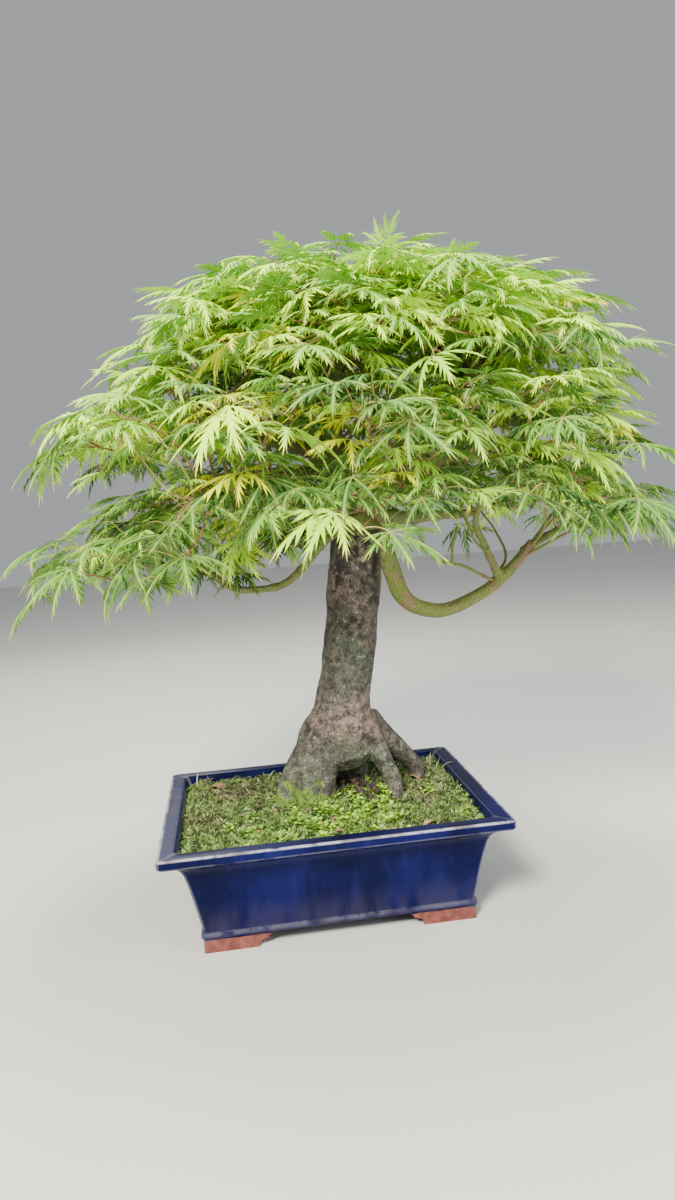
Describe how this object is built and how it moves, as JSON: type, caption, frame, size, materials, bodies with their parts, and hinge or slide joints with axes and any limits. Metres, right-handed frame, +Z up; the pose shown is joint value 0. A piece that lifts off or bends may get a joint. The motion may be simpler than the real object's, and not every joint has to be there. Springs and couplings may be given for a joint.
{
  "type": "laceleaf japanese maple bonsai",
  "caption": "Laceleaf Japanese maple bonsai: leaning trunk on spreading roots, drooping tiers of finely cut leaves, moss over soil, glazed rectangular pot on bracket feet.",
  "frame": {"origin": "on the surface that the pot stands on, under the middle of the whole tree's bounding box", "axes": "+X along the pot's long side, towards the side with the low looping limb; -Y is the side the picture shows; +Z up"},
  "size_m": [0.72, 0.5581, 0.7523],
  "materials": {
    "glaze": "glossy dark navy glaze, thin and brownish at the edges, bare terracotta feet",
    "mesh_plastic": "matt black plastic mesh",
    "potting_soil": "damp granular potting mix",
    "moss": "low living moss, bright green with brown and grey patches",
    "bark": "fissured grey-brown bark with green algae and purplish patches",
    "foliage": "soft thin leaves, yellow-green with pinkish stalks"
  },
  "bodies": {
    "root": {"pot": "glaze", "drain_screen_left": "mesh_plastic", "drain_screen_right": "mesh_plastic", "soil": "potting_soil", "moss": "moss", "trunk_and_branches": "bark", "leaf_spray_01": "foliage", "leaf_spray_02": "foliage", "leaf_spray_03": "foliage", "leaf_spray_04": "foliage", "leaf_spray_05": "foliage", "leaf_spray_06": "foliage", "leaf_spray_07": "foliage", "leaf_spray_08": "foliage", "leaf_spray_09": "foliage", "leaf_spray_10": "foliage", "leaf_spray_11": "foliage", "leaf_spray_12": "foliage", "leaf_spray_13": "foliage", "leaf_spray_14": "foliage", "leaf_spray_15": "foliage", "leaf_spray_16": "foliage", "leaf_spray_17": "foliage", "leaf_spray_18": "foliage", "leaf_spray_19": "foliage", "leaf_spray_20": "foliage", "leaf_spray_21": "foliage", "leaf_spray_22": "foliage", "leaf_spray_23": "foliage", "leaf_spray_24": "foliage", "leaf_spray_25": "foliage", "leaf_spray_26": "foliage", "leaf_spray_27": "foliage", "leaf_spray_28": "foliage", "leaf_spray_29": "foliage", "leaf_spray_30": "foliage", "leaf_spray_31": "foliage", "leaf_spray_32": "foliage", "leaf_spray_33": "foliage", "leaf_spray_34": "foliage", "leaf_spray_35": "foliage", "leaf_spray_36": "foliage", "leaf_spray_37": "foliage", "leaf_spray_38": "foliage", "leaf_spray_39": "foliage", "leaf_spray_40": "foliage", "leaf_spray_41": "foliage", "leaf_spray_42": "foliage", "leaf_spray_43": "foliage", "leaf_spray_44": "foliage", "leaf_spray_45": "foliage", "leaf_spray_46": "foliage", "leaf_spray_47": "foliage", "leaf_spray_48": "foliage", "leaf_spray_49": "foliage", "leaf_spray_50": "foliage", "leaf_spray_51": "foliage", "leaf_spray_52": "foliage", "leaf_spray_53": "foliage"}
  },
  "joints": []
}
